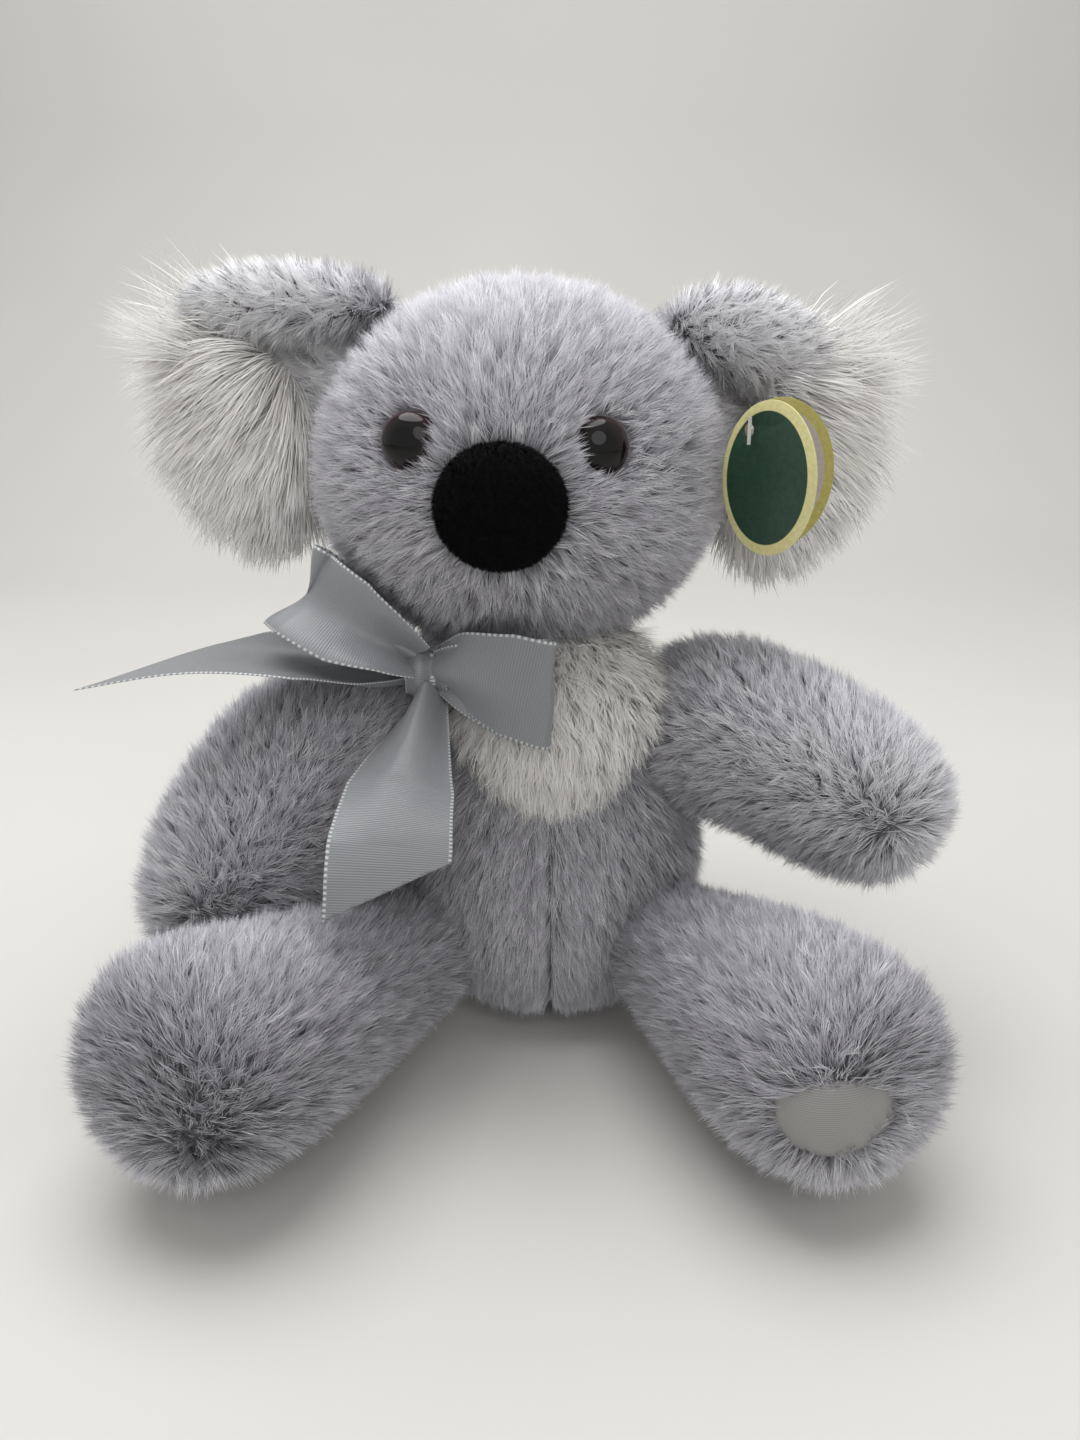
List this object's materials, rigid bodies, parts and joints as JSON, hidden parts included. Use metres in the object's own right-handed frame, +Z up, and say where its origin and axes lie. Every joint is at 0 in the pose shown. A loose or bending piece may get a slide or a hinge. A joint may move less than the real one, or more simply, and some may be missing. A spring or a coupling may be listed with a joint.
{
  "type": "plush koala",
  "caption": "Soft sitting plush koala with a turning head, floppy ears, sewn limbs, a satin neck bow and a folding hang tag.",
  "frame": {"origin": "middle of the flat of the seat, on the surface the toy sits on", "axes": "+Z up, -Y the way the koala faces, +X towards its left side"},
  "size_m": [0.2937, 0.2129, 0.272],
  "materials": {
    "plush_grey": "short pile plush",
    "plush_white": "long pile plush",
    "stuffing": "polyester fibre filling",
    "bean_cotton": "cotton pouch with plastic pellets",
    "eye_plastic": "moulded glossy eye",
    "washer_plastic": "pressed fixing washer",
    "nose_fleece": "black fleece",
    "ribbon_satin": "woven satin with picot edges",
    "label_satin": "woven label satin",
    "tag_card": "laminated card",
    "tag_nylon": "clear nylon"
  },
  "bodies": {
    "torso": {"torso_shell": "plush_grey", "torso_filling": "stuffing", "bean_pouch": "bean_cotton", "chest_bib": "plush_white", "ribbon_neckband": "ribbon_satin", "ribbon_knot": "ribbon_satin", "ribbon_loop_front": "ribbon_satin", "ribbon_loop_side": "ribbon_satin"},
    "neck": {"neck_filling": "stuffing"},
    "head": {"head_shell": "plush_grey", "head_filling": "stuffing", "nose_pad": "nose_fleece", "eye_right": "eye_plastic", "eye_left": "eye_plastic", "eye_washer_right": "washer_plastic", "eye_washer_left": "washer_plastic"},
    "ear_right": {"ear_back_right": "plush_grey", "ear_front_right": "plush_white"},
    "ear_left": {"ear_back_left": "plush_grey", "ear_front_left": "plush_white"},
    "arm_right": {"arm_right_shell": "plush_grey", "arm_right_filling": "stuffing"},
    "arm_left": {"arm_left_shell": "plush_grey", "arm_left_filling": "stuffing"},
    "leg_right": {"leg_right_shell": "plush_grey", "leg_right_filling": "stuffing"},
    "leg_left": {"leg_left_shell": "plush_grey", "leg_left_filling": "stuffing", "foot_label": "label_satin"},
    "tag": {"tag_back_leaf": "tag_card", "tag_fastener": "tag_nylon"},
    "tag_cover": {"tag_front_leaf": "tag_card"},
    "ribbon_tail_front": {"ribbon_tail_front": "ribbon_satin"},
    "ribbon_tail_side": {"ribbon_tail_side": "ribbon_satin"}
  },
  "joints": [
    {"name": "head_nod", "type": "hinge", "parent": "torso", "child": "neck", "pos_m": [-0.008, -0.008, 0.136], "axis": [1, 0, 0], "range_deg": [-12, 0], "stiffness_Nm_per_rad": 2.5},
    {"name": "head_turn", "type": "hinge", "parent": "neck", "child": "head", "pos_m": [-0.008, -0.008, 0.136], "axis": [0, 0, 1], "range_deg": [-25, 25], "stiffness_Nm_per_rad": 1},
    {"name": "ear_right_flop", "type": "hinge", "parent": "head", "child": "ear_right", "pos_m": [-0.071, 0.004, 0.222], "axis": [0.2873, 0, 0.9578], "range_deg": [-15, 12], "stiffness_Nm_per_rad": 0.2},
    {"name": "ear_left_flop", "type": "hinge", "parent": "head", "child": "ear_left", "pos_m": [0.051, 0.004, 0.22], "axis": [-0.2873, 0, 0.9578], "range_deg": [-5, 15], "stiffness_Nm_per_rad": 0.2},
    {"name": "arm_right_raise", "type": "hinge", "parent": "torso", "child": "arm_right", "pos_m": [-0.047, -0.005, 0.107], "axis": [0, 1, 0], "range_deg": [0, 16], "stiffness_Nm_per_rad": 1},
    {"name": "arm_left_raise", "type": "hinge", "parent": "torso", "child": "arm_left", "pos_m": [0.047, -0.005, 0.106], "axis": [0, 1, 0], "range_deg": [-16, 0], "stiffness_Nm_per_rad": 2},
    {"name": "leg_right_splay", "type": "hinge", "parent": "torso", "child": "leg_right", "pos_m": [-0.036, -0.016, 0.033], "axis": [0, 0, 1], "range_deg": [0, 4], "stiffness_Nm_per_rad": 1.5},
    {"name": "leg_left_splay", "type": "hinge", "parent": "torso", "child": "leg_left", "pos_m": [0.037, -0.016, 0.033], "axis": [0, 0, 1], "range_deg": [-10, 12], "stiffness_Nm_per_rad": 1.5},
    {"name": "tag_swing", "type": "hinge", "parent": "ear_left", "child": "tag", "pos_m": [0.0725, -0.004, 0.228], "axis": [0, 1, 0], "range_deg": [-20, 8]},
    {"name": "tag_open", "type": "hinge", "parent": "tag", "child": "tag_cover", "pos_m": [0.0549, -0.0432, 0.2085], "axis": [0, 0, -1], "range_deg": [-24, 3], "stiffness_Nm_per_rad": 0.003},
    {"name": "tail_front_lift", "type": "hinge", "parent": "torso", "child": "ribbon_tail_front", "pos_m": [-0.04, -0.057, 0.137], "axis": [-1, 0, 0], "range_deg": [0, 45]},
    {"name": "tail_side_lift", "type": "hinge", "parent": "torso", "child": "ribbon_tail_side", "pos_m": [-0.05, -0.045, 0.144], "axis": [0, 1, 0], "range_deg": [-12, 2], "stiffness_Nm_per_rad": 0.05}
  ]
}
